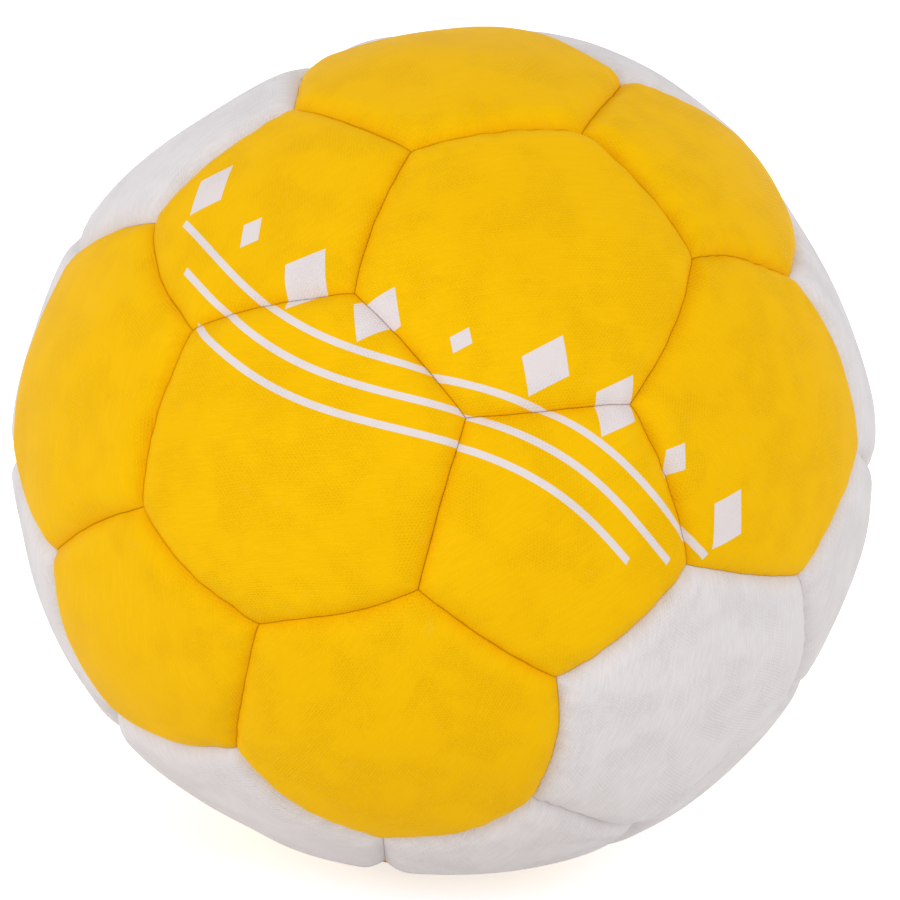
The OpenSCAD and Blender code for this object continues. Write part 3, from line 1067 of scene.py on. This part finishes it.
bladder_black = plain_material(
    "bladder_black", colour(34, 34, 36), colour(24, 24, 26), roughness=0.55, size=0.6, bump=0.05 * MM
)
valve_grey = plain_material(
    "valve_grey", colour(70, 70, 74), colour(56, 56, 60), roughness=0.5, size=0.4, bump=0.03 * MM
)
core_black = plain_material(
    "core_black", colour(30, 30, 32), colour(22, 22, 24), roughness=0.45, size=0.35, bump=0.03 * MM
)


# The ball

def dress(name, material):
    """A CAD node that stays gets its procedural material."""
    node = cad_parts[name]
    node.data.materials.clear()
    node.data.materials.append(material)


def make_cover():
    kinds = (
        ("yellow_hexagon", yellow_hexagons, hexagons, 6, yellow_cover, "yellow_cover"),
        ("white_hexagon", white_hexagons, hexagons, 6, white_cover, "white_cover"),
        ("yellow_pentagon", yellow_pentagons, pentagons, 5, yellow_cover, "yellow_cover"),
        ("white_pentagon", white_pentagons, pentagons, 5, white_cover, "white_cover"),
    )
    for kind, chosen, places, n, material, slot in kinds:
        for number, index in enumerate(chosen, 1):
            make_panel(f"{kind}_{number:02d}", n, places[index], material, slot)
    valve_place = pentagons[valve_pentagon]
    make_panel("valve_pentagon", 5, valve_place, white_cover, "white_cover", valve_opening_r)


def make_linings():
    valve_place = pentagons[valve_pentagon]
    others = [place for place in pentagons if place != valve_place]
    groups = (
        ("hexagon", "s", 6, hexagons, 0, 0),
        ("pentagon", "s", 5, others, 0, 0),
        ("valve", "", 5, [valve_place], neck_hole_r, ring_hole_r),
    )
    for kind, ending, n, places, foam_hole, cloth_hole in groups:
        foam = make_lining(
            f"{kind}_foam_pad{ending}", n, places, foam_top, foam_floor, foam_white, "foam", foam_hole
        )
        make_lining(
            f"{kind}_backing_cloth{ending}", n, places, cloth_top, cloth_floor, cloth_grey,
            "backing_cloth", cloth_hole,
        )


make_cover()
make_linings()
make_thread(thread_brown)
make_bladder(bladder_black)
dress("valve_ring", cloth_grey)
dress("valve_housing", valve_grey)
dress("valve_core", core_black)


# Floor, backdrop and light

def make_floor():
    """A pale floor that glows for the camera and for reflections, so that it shows white."""
    mesh = bpy.data.meshes.new("floor")
    sides = ((-1, -1), (1, -1), (1, 1), (-1, 1))
    corners = [(x * floor_half, y * floor_half, cad_box[0].z) for x, y in sides]
    mesh.from_pydata(corners, [], [(0, 1, 2, 3)])
    floor = add_object("floor", mesh)
    nodes = Nodes("floor_white")
    path = nodes.add("LightPath").outputs
    seen = nodes.math("MAXIMUM", path["Is Camera Ray"], path["Is Glossy Ray"])
    seen = nodes.math("MAXIMUM", seen, path["Is Transmission Ray"])
    nodes.set(nodes.shader.inputs["Base Color"], (floor_albedo, floor_albedo, floor_albedo, 1))
    nodes.set(nodes.shader.inputs["Roughness"], floor_roughness)
    nodes.set(nodes.shader.inputs["Specular IOR Level"], 0.0)
    nodes.set(nodes.shader.inputs["Emission Color"], (1, 1, 1, 1))
    nodes.set(nodes.shader.inputs["Emission Strength"], nodes.math("MULTIPLY", seen, floor_glow))
    mesh.materials.append(nodes.material)


def make_world():
    """An even white light. The camera and reflections see it at full strength."""
    world = bpy.data.worlds.new("studio")
    bpy.context.scene.world = world
    world.use_nodes = True
    tree = world.node_tree
    rays = tree.nodes.new("ShaderNodeLightPath").outputs
    seen = rays["Is Camera Ray"]
    for kind in ("Is Glossy Ray", "Is Transmission Ray"):
        either = tree.nodes.new("ShaderNodeMath")
        either.operation = "MAXIMUM"
        tree.links.new(seen, either.inputs[0])
        tree.links.new(rays[kind], either.inputs[1])
        seen = either.outputs[0]
    light = tree.nodes["Background"]
    backdrop = tree.nodes.new("ShaderNodeBackground")
    for background, strength in ((light, world_strength), (backdrop, 1.0)):
        background.inputs["Color"].default_value = (1, 1, 1, 1)
        background.inputs["Strength"].default_value = strength
    mixed = tree.nodes.new("ShaderNodeMixShader")
    for source, socket in zip((seen, light.outputs[0], backdrop.outputs[0]), mixed.inputs):
        tree.links.new(source, socket)
    tree.links.new(mixed.outputs[0], tree.nodes["World Output"].inputs["Surface"])


def make_lamp(name, sideways, upward, distance, size, power):
    """A round area lamp that faces the ball."""
    data = bpy.data.lights.new(name, "AREA")
    data.shape = "DISK"
    data.size = size
    data.energy = power
    lamp = add_object(name, data)
    direction = Vector(back + sideways * right + upward * up).normalized()
    lamp.location = direction * distance
    lamp.rotation_mode = "QUATERNION"
    lamp.rotation_quaternion = direction.to_track_quat("Z", "Y")


make_floor()
make_world()
for name, values in lamps.items():
    make_lamp(name, **values)
bpy.context.scene.view_settings.view_transform = "Standard"
